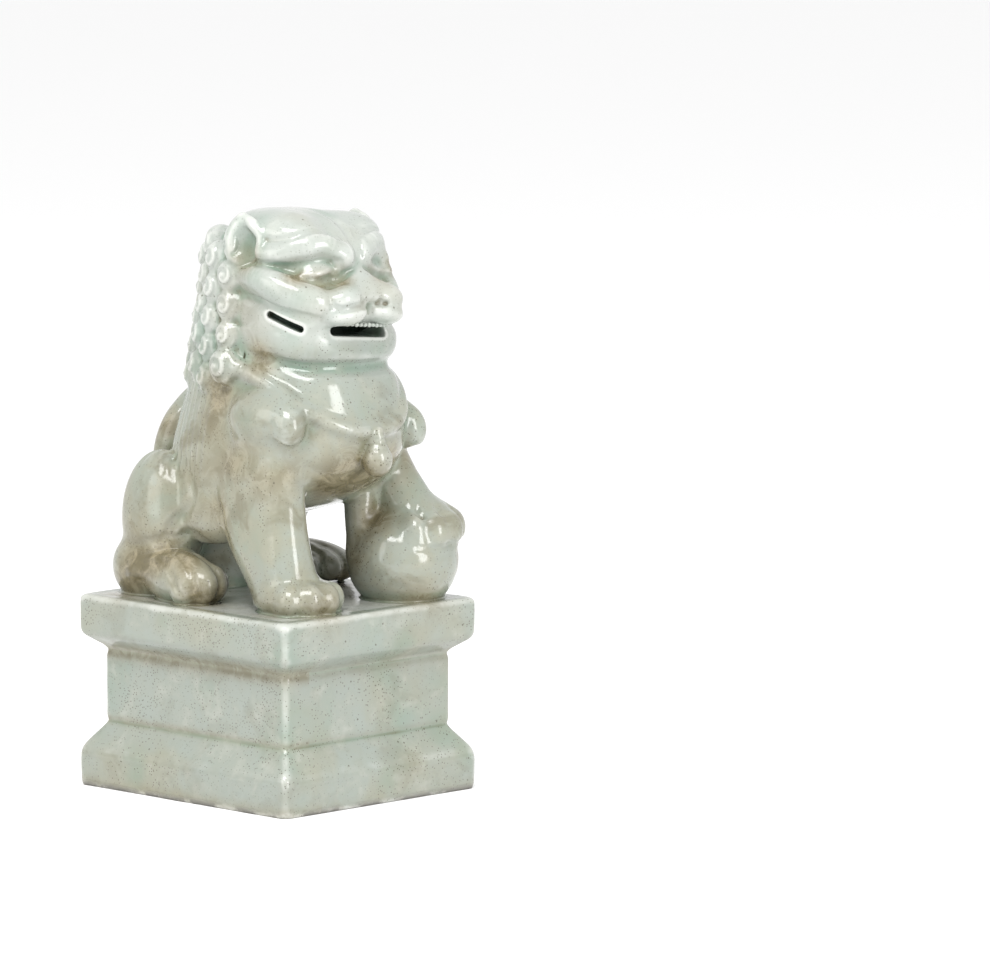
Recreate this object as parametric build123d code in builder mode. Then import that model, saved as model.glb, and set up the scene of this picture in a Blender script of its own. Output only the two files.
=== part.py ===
"""Foo dog statue: a press-moulded, celadon-glazed porcelain guardian lion luted to a hollow plinth.

Every node is one piece of clay as the potter made it before the pieces were luted together.
Frame: origin at the centre of the plinth's foot, on the table. +Z up, the lion faces -Y,
so its left side is +X. Its left forepaw rests on a ball. Millimetres.
"""

import os

from build123d import *

# ---- plinth dimensions ----
PLINTH_WIDTH = 130.0
PLINTH_DEPTH = 146.0
PLINTH_CORNER = 4.0
CLAY = 7.0
FOOT_BAND = 19.0
FOOT_FLARE = 12.5
WAIST_HEIGHT = 36.0
WAIST_INSET = 9.0
CAP_FLARE = 7.0
CAP_BAND = 20.0
DECK_THICKNESS = 8.0
CAP_EDGE = 2.5

WAIST_Z = FOOT_BAND + FOOT_FLARE
CAP_Z = WAIST_Z + WAIST_HEIGHT
BAND_Z = CAP_Z + CAP_FLARE
DECK = BAND_Z + CAP_BAND

WAIST_W = PLINTH_WIDTH - 2 * WAIST_INSET
WAIST_D = PLINTH_DEPTH - 2 * WAIST_INSET
WAIST_CORNER = PLINTH_CORNER - 1
INNER_W = WAIST_W - 2 * CLAY
INNER_D = WAIST_D - 2 * CLAY
BAND_W = PLINTH_WIDTH - 2 * CLAY
BAND_D = PLINTH_DEPTH - 2 * CLAY

# ---- lion dimensions ----
SHELL = 6.0
# The side of a cutting box that reaches past the whole lion.
PAST_ALL = 200.0
SEAM_Y = -18.0

# The trunk leans back from the breast to the rump. Each level is an ellipse:
# height above the deck, centre along Y, half width, half depth.
TRUNK_LEVELS = (
    (0.5, 47, 25, 16),
    (15, 38, 36, 28),
    (30, 27, 41, 38),
    (46, 11, 43, 50),
    (62, -3, 44, 57),
    (78, -9, 45, 58),
    (96, -10, 44, 56),
    (114, -10, 41, 49),
    (128, -12, 37, 40),
)
TRUNK_HOLLOW_HEIGHT = 112.0

HEAD_SIZE = Vector(82, 84, 84)
HEAD = Vector(0, -14.5, DECK + 150)
HEAD_ROUND = 24.0
MUZZLE = Vector(0, -40, DECK + 147)
MUZZLE_RADII = (38, 26, 18)
MOUTH_Z = DECK + 133
MOUTH_WIDTH = 39.0
MOUTH_HEIGHT = 5.6
SIDE_SLOT = (30.0, 18.0, 4.4)
SIDE_SLOT_CENTRE = (43, -45, DECK + 141)
SIDE_SLOT_RISE = 25.0
JAW = Vector(0, -36, MOUTH_Z - 1)
JAW_RADII = (40, 26, 14)
NOSE = (0, -54, DECK + 156)
NOSE_RADII = (20, 11, 10)
EYE = (22, -50, DECK + 167)
EYE_RADII = (9, 7, 6.5)
BROW = (23, -44, DECK + 178)
BROW_RADII = (18, 13, 8)
BROW_TURN = 20
BROW_DROOP = 8
EAR = (37, -11, DECK + 176)
EAR_RADII = (7, 13, 15)
EAR_TURN = -12
EAR_SPLAY = -14
TOOTH_COUNT = 13
TOOTH_RADIUS = 1.2
TOOTH_LENGTH = 1.6
TOOTH_SETBACK = 0.86

CURL_RADIUS = 6.8
CURL_SPACING = 13.0
CURL_LEVELS = (DECK + 180, DECK + 167, DECK + 154, DECK + 141, DECK + 128, DECK + 115)
MANE_FELT = 2.5
MANE_FRONT_Y = -2.0
MANE_TOP_Z = DECK + 187
NAPE_HALF_WIDTH = 15.0

STRAP = 2.5
STRAP_WIDTH = 6.0
STRAP_SLOPE = 35.0
STRAP_LOW = Vector(0, -69, DECK + 88)
STRAP_REACH = 72.0
STRAP_SHIFT = 22.0
BELL_RADIUS = 7.5
BELL_DROP = 14.0
BELL_HALF_HEIGHT = 8.0
BELL_NECK_DROP = 9.0
BELL_NECK_RADIUS = 4.2

BALL_RADIUS = 26.5
BALL = Vector(38.5, -46.5, DECK + 20)
HAUNCH = (35, 34, DECK + 34)
HAUNCH_RADII = (19, 33, 36)
TAIL = (0, 58, DECK + 61)
TAIL_RADII = (15, 11, 33)
TAIL_TILT = 22
TAIL_LOBE = (10, 60.5, DECK + 45)
TAIL_LOBE_RADII = (9, 10, 19)
TAIL_LOBE_TILT = 12
TAIL_LOBE_SPLAY = 20
HIND_FOOT = (46, 30, DECK + 9)
HIND_FOOT_RADII = (13, 28, 12)
HIND_TOE_Z = DECK + 6
HIND_TOE_RADII = (6, 8, 7)
PAW_RADII = (16, 19, 12)
TOE_RADII = (5, 6, 6)

os.makedirs("parts", exist_ok=True)
made = []


def finish_piece(part, name):
    """Label a piece, write its STEP file and remember it."""
    part.label = name
    export_step(part, f"parts/{name}.step")
    made.append(part)


def biggest(part):
    """The main solid of a cut piece, without any crumbs the cutting left."""
    return part.solids().sort_by(SortBy.VOLUME)[-1]


def blob(centre, radii, rotation=(0, 0, 0)):
    """An ellipsoid, made outside any builder context."""
    unit = Sphere(1, mode=Mode.PRIVATE)
    grown = scale(unit, by=tuple(float(radius) for radius in radii), mode=Mode.PRIVATE)
    return Location(centre, rotation) * grown


def mirrored(point, side):
    """A point given for the lion's left side, moved to side +1 (left) or -1 (right)."""
    return Vector(side * point[0], point[1], point[2])


def trunk_body(grow, raised=0.0):
    """The trunk's form, every level grown sideways and raised by the same amounts."""
    with BuildPart() as trunk_form:
        for height, centre_y, half_width, half_depth in TRUNK_LEVELS:
            with BuildSketch(Plane((0, centre_y, DECK + height + raised))):
                Ellipse(half_width + grow, half_depth + grow)
        loft()
    return trunk_form.part


def skull_block(grow):
    """The head's boxy form with its big roundings, grown on every side."""
    with BuildPart() as block:
        with Locations(HEAD):
            Box(HEAD_SIZE.X + 2 * grow, HEAD_SIZE.Y + 2 * grow, HEAD_SIZE.Z + 2 * grow)
        fillet(block.edges(), HEAD_ROUND + grow)
    return block.part


def limb(levels):
    """A limb lofted through (x, y, z, radius x, radius y) levels, lowest first."""
    with BuildPart() as limb_form:
        for x, y, z, radius_x, radius_y in levels:
            with BuildSketch(Plane((x, y, z))):
                Ellipse(radius_x, radius_y)
        loft()
    return limb_form.part


# ---- plinth: foot ring, four waist walls, cap with its deck ----
with BuildPart() as plinth_foot:
    with BuildSketch():
        RectangleRounded(PLINTH_WIDTH, PLINTH_DEPTH, PLINTH_CORNER)
        Rectangle(BAND_W, BAND_D, mode=Mode.SUBTRACT)
    extrude(amount=FOOT_BAND)
    with BuildSketch(Plane.XY.offset(FOOT_BAND)):
        RectangleRounded(PLINTH_WIDTH, PLINTH_DEPTH, PLINTH_CORNER)
    with BuildSketch(Plane.XY.offset(WAIST_Z)):
        RectangleRounded(WAIST_W, WAIST_D, WAIST_CORNER)
    loft(ruled=True)
    with BuildSketch(Plane.XY.offset(FOOT_BAND)):
        Rectangle(BAND_W, BAND_D)
    with BuildSketch(Plane.XY.offset(WAIST_Z)):
        Rectangle(INNER_W, INNER_D)
    loft(ruled=True, mode=Mode.SUBTRACT)
finish_piece(plinth_foot.part, "plinth_foot")

# The waist's corners are mitred, so each wall lies inside its own wedge of the plan.
APEX = (WAIST_D - WAIST_W) / 2
FAR = PLINTH_DEPTH
WEDGES = {
    "plinth_front_wall": ((0, -APEX), (FAR, -APEX - FAR), (-FAR, -APEX - FAR)),
    "plinth_back_wall": ((0, APEX), (-FAR, APEX + FAR), (FAR, APEX + FAR)),
    "plinth_left_wall": ((0, APEX), (FAR, APEX + FAR), (FAR, -APEX - FAR), (0, -APEX)),
    "plinth_right_wall": ((0, APEX), (0, -APEX), (-FAR, -APEX - FAR), (-FAR, APEX + FAR)),
}
for wall_name, wedge in WEDGES.items():
    with BuildPart() as plinth_wall:
        with BuildSketch(Plane.XY.offset(WAIST_Z)):
            RectangleRounded(WAIST_W, WAIST_D, WAIST_CORNER)
            Rectangle(INNER_W, INNER_D, mode=Mode.SUBTRACT)
            with BuildLine():
                Polyline(*wedge, close=True)
            make_face(mode=Mode.INTERSECT)
        extrude(amount=WAIST_HEIGHT)
    finish_piece(plinth_wall.part, wall_name)

with BuildPart() as plinth_cap:
    with BuildSketch(Plane.XY.offset(CAP_Z)):
        RectangleRounded(WAIST_W, WAIST_D, WAIST_CORNER)
    with BuildSketch(Plane.XY.offset(BAND_Z)):
        RectangleRounded(PLINTH_WIDTH, PLINTH_DEPTH, PLINTH_CORNER)
    loft(ruled=True)
    with BuildSketch(Plane.XY.offset(BAND_Z)):
        RectangleRounded(PLINTH_WIDTH, PLINTH_DEPTH, PLINTH_CORNER)
    extrude(amount=CAP_BAND)
    fillet(plinth_cap.faces().sort_by(Axis.Z)[-1].edges(), CAP_EDGE)
    with BuildSketch(Plane.XY.offset(CAP_Z)):
        Rectangle(INNER_W, INNER_D)
    with BuildSketch(Plane.XY.offset(BAND_Z)):
        Rectangle(BAND_W, BAND_D)
    loft(ruled=True, mode=Mode.SUBTRACT)
    with BuildSketch(Plane.XY.offset(BAND_Z)):
        Rectangle(BAND_W, BAND_D)
    extrude(amount=CAP_BAND - DECK_THICKNESS, mode=Mode.SUBTRACT)
finish_piece(plinth_cap.part, "plinth_cap")

# Everything above stands on the deck: this block trims what would sink into it.
with BuildPart() as below_deck:
    with Locations((0, 0, DECK)):
        Box(2 * PLINTH_DEPTH, 2 * PLINTH_DEPTH, DECK, align=(Align.CENTER, Align.CENTER, Align.MAX))

# ---- trunk: hollow, pressed in a breast half and a back half ----
TRUNK_LIFT = 0.01
with BuildPart() as trunk_hollow:
    add(trunk_body(-SHELL, raised=TRUNK_LIFT))
    with Locations((0, 0, DECK + SHELL)):
        Box(
            PLINTH_WIDTH,
            2 * PLINTH_DEPTH,
            TRUNK_HOLLOW_HEIGHT,
            align=(Align.CENTER, Align.CENTER, Align.MIN),
            mode=Mode.INTERSECT,
        )

trunk_outer = trunk_body(0)
seam = Plane((0, SEAM_Y, 0), x_dir=(1, 0, 0), z_dir=(0, -1, 0))
for half_name, kept in (("breast", Keep.TOP), ("back", Keep.BOTTOM)):
    with BuildPart() as trunk_half:
        add(trunk_outer)
        add(trunk_hollow.part, mode=Mode.SUBTRACT)
        split(bisect_by=seam, keep=kept)
    finish_piece(trunk_half.part, half_name)

# ---- head: a hollow, boxy cranium with the upper muzzle, and a separate lower jaw ----
with BuildPart() as head_form:
    add(skull_block(0))
    add(blob(MUZZLE, MUZZLE_RADII))
    with Locations((0, SEAM_Y, MOUTH_Z)):
        Box(PAST_ALL, PAST_ALL, PAST_ALL, align=(Align.CENTER, Align.MAX, Align.MAX), mode=Mode.SUBTRACT)
    add(trunk_outer, mode=Mode.SUBTRACT)
head_solid = head_form.part

with BuildPart() as head_cavity:
    add(skull_block(-SHELL))
    add(blob(MUZZLE, [radius - SHELL for radius in MUZZLE_RADII]))
    add(blob(JAW, [radius - SHELL for radius in JAW_RADII]))
    add(trunk_outer, mode=Mode.SUBTRACT)

with BuildPart() as head:
    add(head_solid)
    add(head_cavity.part, mode=Mode.SUBTRACT)
    with Locations((0, MUZZLE.Y, MOUTH_Z)):
        Box(
            MOUTH_WIDTH,
            PAST_ALL,
            MOUTH_HEIGHT,
            align=(Align.CENTER, Align.MAX, Align.MIN),
            mode=Mode.SUBTRACT,
        )
    for side in (1, -1):
        with Locations(Location(mirrored(SIDE_SLOT_CENTRE, side), (SIDE_SLOT_RISE, 0, 0))):
            Box(*SIDE_SLOT, mode=Mode.SUBTRACT)
finish_piece(head.part, "head")

with BuildPart() as lower_jaw:
    add(blob(JAW, JAW_RADII))
    with Locations((0, 0, MOUTH_Z)):
        Box(PAST_ALL, PAST_ALL, PAST_ALL, align=(Align.CENTER, Align.CENTER, Align.MIN), mode=Mode.SUBTRACT)
    add(trunk_outer, mode=Mode.SUBTRACT)
    add(head_solid, mode=Mode.SUBTRACT)
    add(head_cavity.part, mode=Mode.SUBTRACT)
finish_piece(lower_jaw.part, "lower_jaw")

skull = head_solid + lower_jaw.part

with BuildPart() as upper_teeth:
    for index in range(TOOTH_COUNT):
        reach = (2 * index / (TOOTH_COUNT - 1) - 1) * (MOUTH_WIDTH / 2 - 2 * TOOTH_RADIUS)
        depth = MUZZLE_RADII[1] * (1 - (reach / MUZZLE_RADII[0]) ** 2) ** 0.5
        with Locations((reach, MUZZLE.Y - depth * TOOTH_SETBACK, MOUTH_Z + MOUTH_HEIGHT)):
            Cylinder(TOOTH_RADIUS, TOOTH_LENGTH, align=(Align.CENTER, Align.CENTER, Align.MAX))
finish_piece(upper_teeth.part, "upper_teeth")

with BuildPart() as nose:
    add(blob(NOSE, NOSE_RADII))
    add(skull, mode=Mode.SUBTRACT)
nose_solid = biggest(nose.part)
finish_piece(nose_solid, "nose")

ears = []
for side, side_name in ((1, "left"), (-1, "right")):
    with BuildPart() as eye:
        add(blob(mirrored(EYE, side), EYE_RADII))
        add(skull, mode=Mode.SUBTRACT)
        add(nose_solid, mode=Mode.SUBTRACT)
    eye_solid = biggest(eye.part)
    finish_piece(eye_solid, f"{side_name}_eye")

    with BuildPart() as brow:
        add(blob(mirrored(BROW, side), BROW_RADII, (0, side * BROW_DROOP, side * BROW_TURN)))
        add(skull, mode=Mode.SUBTRACT)
        add(eye_solid, mode=Mode.SUBTRACT)
    brow_solid = biggest(brow.part)
    finish_piece(brow_solid, f"{side_name}_brow")

    with BuildPart() as ear:
        add(blob(mirrored(EAR, side), EAR_RADII, (0, side * EAR_SPLAY, side * EAR_TURN)))
        add(skull, mode=Mode.SUBTRACT)
        add(brow_solid, mode=Mode.SUBTRACT)
    ears.append(biggest(ear.part))
    finish_piece(ears[-1], f"{side_name}_ear")

# ---- mane: a felt of clay over the back of the head, set with rows of snail curls ----
with BuildPart() as mane_felt:
    add(skull_block(MANE_FELT))
    with Locations((0, MANE_FRONT_Y, 0)):
        Box(PAST_ALL, PAST_ALL, MANE_TOP_Z, align=(Align.CENTER, Align.MIN, Align.MIN), mode=Mode.INTERSECT)

curl_centres = []
for row, level in enumerate(CURL_LEVELS):
    beyond = max(0.0, abs(level - HEAD.Z) - (HEAD_SIZE.Z / 2 - HEAD_ROUND))
    inset = HEAD_ROUND - (HEAD_ROUND**2 - beyond**2) ** 0.5
    outline = Plane.XY.offset(level) * RectangleRounded(
        HEAD_SIZE.X - 2 * inset, HEAD_SIZE.Y - 2 * inset, HEAD_ROUND - inset, mode=Mode.PRIVATE
    )
    ring = Pos(0, HEAD.Y, 0) * outline.wire()
    count = int(ring.length / CURL_SPACING)
    curl_centres += [ring @ ((index + 0.5 * (row % 2)) / count) for index in range(count)]
curl_centres = [centre for centre in curl_centres if centre.Y > MANE_FRONT_Y + CURL_RADIUS / 2]

# The three groups meet edge to edge; a curl on a border is shared between its two groups.
for group_name, low_x, high_x in (
    ("nape_curls", -NAPE_HALF_WIDTH, NAPE_HALF_WIDTH),
    ("left_mane_curls", NAPE_HALF_WIDTH, PLINTH_WIDTH),
    ("right_mane_curls", -PLINTH_WIDTH, -NAPE_HALF_WIDTH),
):
    with BuildPart() as curls:
        add(mane_felt.part)
        for centre in curl_centres:
            if low_x - CURL_RADIUS < centre.X < high_x + CURL_RADIUS:
                with Locations(centre):
                    Sphere(CURL_RADIUS)
        with Locations((low_x, 0, 0)):
            Box(
                high_x - low_x,
                2 * PLINTH_DEPTH,
                3 * MANE_TOP_Z,
                align=(Align.MIN, Align.CENTER, Align.CENTER),
                mode=Mode.INTERSECT,
            )
        add(head_solid, mode=Mode.SUBTRACT)
        for ear_solid in ears:
            add(ear_solid, mode=Mode.SUBTRACT)
        add(trunk_outer, mode=Mode.SUBTRACT)
    finish_piece(biggest(curls.part), group_name)

# ---- harness: a strap round the breast with three pear-shaped bells ----
with BuildPart() as collar:
    with Locations(Location(STRAP_LOW, (STRAP_SLOPE, 0, 0)) * Pos(0, STRAP_SHIFT, 0)):
        Box(PLINTH_WIDTH, STRAP_REACH, STRAP_WIDTH)
    add(trunk_body(STRAP), mode=Mode.INTERSECT)
    add(trunk_outer, mode=Mode.SUBTRACT)
    add(skull, mode=Mode.SUBTRACT)
strap_solid = biggest(collar.part)
finish_piece(strap_solid, "collar")

with BuildPart() as bell_form:
    add(blob((0, 0, -BELL_DROP), (BELL_RADIUS, BELL_RADIUS, BELL_HALF_HEIGHT)))
    add(blob((0, 0, -BELL_NECK_DROP), (BELL_NECK_RADIUS, BELL_NECK_RADIUS, BELL_NECK_DROP)))

BELL_HOOKS = {
    "breast_bell": (0, -68, DECK + 89),
    "left_shoulder_bell": (42, -45, DECK + 97),
    "right_shoulder_bell": (-42, -45, DECK + 97),
}
bells = {}
for bell_name, hook in BELL_HOOKS.items():
    with BuildPart() as bell:
        with Locations(hook):
            add(bell_form.part)
        add(trunk_outer, mode=Mode.SUBTRACT)
        add(strap_solid, mode=Mode.SUBTRACT)
    bells[bell_name] = biggest(bell.part)
    finish_piece(bells[bell_name], bell_name)

# ---- hindquarters ----
with BuildPart() as tail:
    add(blob(TAIL, TAIL_RADII, (TAIL_TILT, 0, 0)))
    for side in (1, -1):
        add(blob(mirrored(TAIL_LOBE, side), TAIL_LOBE_RADII, (TAIL_LOBE_TILT, side * TAIL_LOBE_SPLAY, 0)))
    add(below_deck.part, mode=Mode.SUBTRACT)
    add(trunk_outer, mode=Mode.SUBTRACT)
tail_solid = biggest(tail.part)
finish_piece(tail_solid, "tail")

HIND_TOES = ((36, 11), (42, 6), (49, 5), (55, 10))
for side, side_name in ((1, "left"), (-1, "right")):
    with BuildPart() as haunch:
        add(blob(mirrored(HAUNCH, side), HAUNCH_RADII))
        add(trunk_outer, mode=Mode.SUBTRACT)
        add(tail_solid, mode=Mode.SUBTRACT)
        add(below_deck.part, mode=Mode.SUBTRACT)
    haunch_solid = biggest(haunch.part)
    finish_piece(haunch_solid, f"{side_name}_haunch")

    with BuildPart() as hind_foot:
        add(blob(mirrored(HIND_FOOT, side), HIND_FOOT_RADII))
        for across, along in HIND_TOES:
            add(blob(mirrored((across, along, HIND_TOE_Z), side), HIND_TOE_RADII))
        add(trunk_outer, mode=Mode.SUBTRACT)
        add(haunch_solid, mode=Mode.SUBTRACT)
        add(below_deck.part, mode=Mode.SUBTRACT)
    finish_piece(biggest(hind_foot.part), f"{side_name}_hind_paw")

# ---- ball, and the forelegs: the right one stands on the deck, the left one on the ball ----
with BuildPart() as ball:
    with Locations(BALL):
        Sphere(BALL_RADIUS)
    add(below_deck.part, mode=Mode.SUBTRACT)
finish_piece(ball.part, "ball")

# Both legs' tops end inside the trunk, so the shoulder swells out of it.
right_leg = limb((
    (-31, -44, DECK + 9, 12, 14),
    (-32, -36, DECK + 24, 14, 18),
    (-36, -29, DECK + 52, 16, 24),
    (-37, -31, DECK + 74, 15, 24),
    (-30, -28, DECK + 96, 9, 12),
))
left_leg = limb((
    (43, -49, DECK + 42, 13, 15),
    (40, -43, DECK + 55, 15, 18),
    (37, -37, DECK + 73, 16, 21),
    (32, -31, DECK + 93, 10, 14),
))
RIGHT_PAW = (-31, -47, DECK + 9)
LEFT_PAW = (44, -49, DECK + 42)
FORE_TOES = ((-11.5, -11), (-4, -15), (4, -15), (11.5, -11))

for leg_name, paw_name, leg_form, paw_centre, toe_drop, bell_name in (
    ("right_foreleg", "right_forepaw", right_leg, RIGHT_PAW, 3, "right_shoulder_bell"),
    ("left_foreleg", "left_forepaw", left_leg, LEFT_PAW, 5, "left_shoulder_bell"),
):
    with BuildPart() as forepaw:
        add(blob(paw_centre, PAW_RADII))
        for across, along in FORE_TOES:
            add(blob(Vector(*paw_centre) + Vector(across, along, -toe_drop), TOE_RADII))
        add(ball.part, mode=Mode.SUBTRACT)
        add(below_deck.part, mode=Mode.SUBTRACT)
    paw_solid = biggest(forepaw.part)
    finish_piece(paw_solid, paw_name)

    with BuildPart() as foreleg:
        add(leg_form)
        add(trunk_outer, mode=Mode.SUBTRACT)
        add(paw_solid, mode=Mode.SUBTRACT)
        add(ball.part, mode=Mode.SUBTRACT)
        add(bells[bell_name], mode=Mode.SUBTRACT)
        add(strap_solid, mode=Mode.SUBTRACT)
    finish_piece(biggest(foreleg.part), leg_name)

print(len(made), "pieces")
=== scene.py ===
"""Looks of the foo dog statue: a celadon-glazed porcelain lion on its stepped plinth.

The lion is modelled like clay: its forms are pressed together in a block of voxels, tooled,
then skinned. The skin is cut into one piece for each CAD node, so that the glaze runs on
without a break. Lengths are millimetres until a mesh is made, and the lion's heights are
above the deck. The lion faces -Y.
"""

import math

import bpy
import numpy as np
from mathutils import Matrix, Vector


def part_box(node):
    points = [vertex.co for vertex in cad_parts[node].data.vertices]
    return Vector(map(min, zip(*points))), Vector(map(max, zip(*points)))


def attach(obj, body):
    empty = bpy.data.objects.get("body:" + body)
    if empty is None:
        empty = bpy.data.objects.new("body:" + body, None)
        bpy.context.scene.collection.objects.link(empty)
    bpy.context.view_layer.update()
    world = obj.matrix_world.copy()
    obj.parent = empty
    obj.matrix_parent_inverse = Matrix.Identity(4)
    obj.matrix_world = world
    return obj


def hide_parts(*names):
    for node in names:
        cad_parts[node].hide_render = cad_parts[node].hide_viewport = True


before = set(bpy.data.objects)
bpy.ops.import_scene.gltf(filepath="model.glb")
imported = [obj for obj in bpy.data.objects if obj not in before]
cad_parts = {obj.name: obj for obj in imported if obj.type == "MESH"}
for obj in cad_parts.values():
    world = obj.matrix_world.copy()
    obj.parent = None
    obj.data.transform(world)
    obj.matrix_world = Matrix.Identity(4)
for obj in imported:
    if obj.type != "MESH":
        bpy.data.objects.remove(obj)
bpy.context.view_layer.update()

MM = 0.001
scene = bpy.context.scene

# ---- camera: a little above the lion, off its front right corner, a long way back ----
VIEW_AZIMUTH = math.radians(-45)
VIEW_ELEVATION = math.radians(8)
VIEW_DISTANCE = 5.0
LENS = 372.0
AIM_RIGHT = 0.1062
AIM_UP = 0.1472

toward = Vector((
    math.sin(VIEW_AZIMUTH) * math.cos(VIEW_ELEVATION),
    -math.cos(VIEW_AZIMUTH) * math.cos(VIEW_ELEVATION),
    math.sin(VIEW_ELEVATION),
))
view_right = Vector((math.cos(VIEW_AZIMUTH), math.sin(VIEW_AZIMUTH), 0))
view_up = toward.cross(view_right)
camera_data = bpy.data.cameras.new("camera")
camera_data.lens = LENS
camera = bpy.data.objects.new("camera", camera_data)
scene.collection.objects.link(camera)
camera.location = AIM_RIGHT * view_right + AIM_UP * view_up + VIEW_DISTANCE * toward
camera.rotation_euler = toward.to_track_quat("Z", "Y").to_euler()
camera_data.clip_end = 50
scene.camera = camera
scene.view_settings.view_transform = "Standard"

# ---- places taken from the CAD frame ----


def node_box(name):
    """A CAD node's lowest and highest corners, in millimetres."""
    low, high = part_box(name)
    return np.array(low) / MM, np.array(high) / MM


cap_high = node_box("plinth_cap")[1]
DECK = float(cap_high[2])
STEP = 0.6
FAR = 30.0
SPARE = 2
LEAN_SPARE = 6
STACK_SPARE = 12


def above_deck(points):
    """One point or several, with heights above the deck, moved to the CAD's frame."""
    return np.array(points, dtype=float) + (0, 0, DECK)



# ---- the block of clay ----
class Clay:
    """A block of voxels holding the distance to the surface, and the name of the nearest form."""

    def __init__(self, low, high, step):
        self.low = np.array(low, dtype=np.float32)
        self.step = step
        shape = np.ceil((np.array(high) - self.low) / step).astype(int) + 1
        self.axes = [self.low[i] + step * np.arange(shape[i], dtype=np.float32) for i in range(3)]
        self.field = np.full(shape, FAR, dtype=np.float32)
        self.nearest = np.full(shape, FAR, dtype=np.float32)
        self.owner = np.zeros(shape, dtype=np.uint8)
        self.names = []
        self.lean = 0.0
        self.pivot = (0.0, 0.0)

    def leaned(self, x, z):
        """X and Z turned about the pivot by the lean that is set, for forms given upright."""
        if not self.lean:
            return x, z
        sine, cosine = math.sin(self.lean), math.cos(self.lean)
        dx, dz = x - self.pivot[0], z - self.pivot[1]
        return self.pivot[0] + dx * cosine - dz * sine, self.pivot[1] + dx * sine + dz * cosine

    def lean_points(self, points):
        """Upright points moved to where they are on the leaning form."""
        points = np.array(points, dtype=float)
        sine, cosine = math.sin(self.lean), math.cos(self.lean)
        dx, dz = points[:, 0] - self.pivot[0], points[:, 2] - self.pivot[1]
        points[:, 0] = self.pivot[0] + dx * cosine + dz * sine
        points[:, 2] = self.pivot[1] - dx * sine + dz * cosine
        return points

    def window(self, low, high):
        """The part of the block between two corners, and its coordinate arrays."""
        start = [max(0, int((low[i] - self.low[i]) / self.step)) for i in range(3)]
        stop = [
            max(start[i] + 1, min(self.field.shape[i], int((high[i] - self.low[i]) / self.step) + 2))
            for i in range(3)
        ]
        cut = tuple(slice(start[i], stop[i]) for i in range(3))
        x = self.axes[0][cut[0]][:, None, None]
        y = self.axes[1][cut[1]][None, :, None]
        z = self.axes[2][cut[2]][None, None, :]
        return cut, x, y, z

    def press(self, name, form, blend=3.0):
        """Add a form to the piece called name, blended into the clay already there."""
        if name not in self.names:
            self.names.append(name)
        low, high, distance = form
        margin = blend + (LEAN_SPARE if self.lean else SPARE)
        cut, x, y, z = self.window(low - margin, high + margin)
        x, z = self.leaned(x, z)
        d = distance(x, y, z).astype(np.float32)
        here = self.field[cut]
        overlap = np.maximum(blend - np.abs(here - d), 0) / blend
        self.field[cut] = np.minimum(here, d) - overlap * overlap * blend * 0.25
        closer = d < self.nearest[cut]
        self.nearest[cut][closer] = d[closer]
        self.owner[cut][closer] = self.names.index(name)

    def cut_away(self, form, blend=1.5):
        """Remove a form from the clay, with the edge it leaves softened."""
        low, high, distance = form
        margin = blend + (LEAN_SPARE if self.lean else SPARE)
        cut, x, y, z = self.window(low - margin, high + margin)
        x, z = self.leaned(x, z)
        d = -distance(x, y, z).astype(np.float32)
        here = self.field[cut]
        overlap = np.maximum(blend - np.abs(here - d), 0) / blend
        self.field[cut] = np.maximum(here, d) + overlap * overlap * blend * 0.25

    def stroke(self, points, width, depth):
        """Cut a groove by drawing a soft tool along the surface near the points."""
        line = self.onto_surface(self.lean_points(smooth_line(above_deck(points))))
        reach = 2.4 * width
        cut, x, y, z = self.window(line.min(axis=0) - reach, line.max(axis=0) + reach)
        near = np.full(np.broadcast_shapes(x.shape, y.shape, z.shape), FAR * FAR, dtype=np.float32)
        taper = np.ones_like(near)
        last = len(line) - 1
        for index, (px, py, pz) in enumerate(line):
            square = (x - px) ** 2 + (y - py) ** 2 + (z - pz) ** 2
            closer = square < near
            near = np.where(closer, square, near)
            end_fade = min(1.0, 0.35 + 3.0 * min(index, last - index) / last)
            taper = np.where(closer, end_fade, taper)
        self.field[cut] += depth * taper * np.exp(-near / (width * width))

    def sample(self, points, values=None):
        """The field, or another array of the block, at points between the voxels."""
        values = self.field if values is None else values
        at = (points - self.low) / self.step
        top = np.array(values.shape) - 1.001
        at = np.clip(at, 0, top)
        base = at.astype(int)
        part = (at - base).astype(np.float32)
        total = np.zeros(len(points), dtype=np.float32)
        for corner in range(8):
            dx, dy, dz = corner >> 2 & 1, corner >> 1 & 1, corner & 1
            weight = np.ones(len(points), dtype=np.float32)
            for axis, bit in enumerate((dx, dy, dz)):
                weight *= part[:, axis] if bit else 1 - part[:, axis]
            total += weight * values[base[:, 0] + dx, base[:, 1] + dy, base[:, 2] + dz]
        return total

    def slope(self, points):
        """The gradient of the field at points."""
        gradient = np.empty((len(points), 3), dtype=np.float32)
        for axis in range(3):
            shift = np.zeros(3)
            shift[axis] = 0.75 * self.step
            ahead = self.sample(points + shift)
            behind = self.sample(points - shift)
            gradient[:, axis] = (ahead - behind) / (1.5 * self.step)
        return gradient

    def onto_surface(self, points, rounds=4, most=2.0):
        """Move points along the slope until they lie on the surface."""
        points = np.array(points, dtype=float)
        for _ in range(rounds):
            gradient = self.slope(points)
            size = np.maximum((gradient**2).sum(axis=1), 0.05)
            move = np.clip(self.sample(points) / size, -most, most)
            points = points - gradient * move[:, None]
        return points


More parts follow.
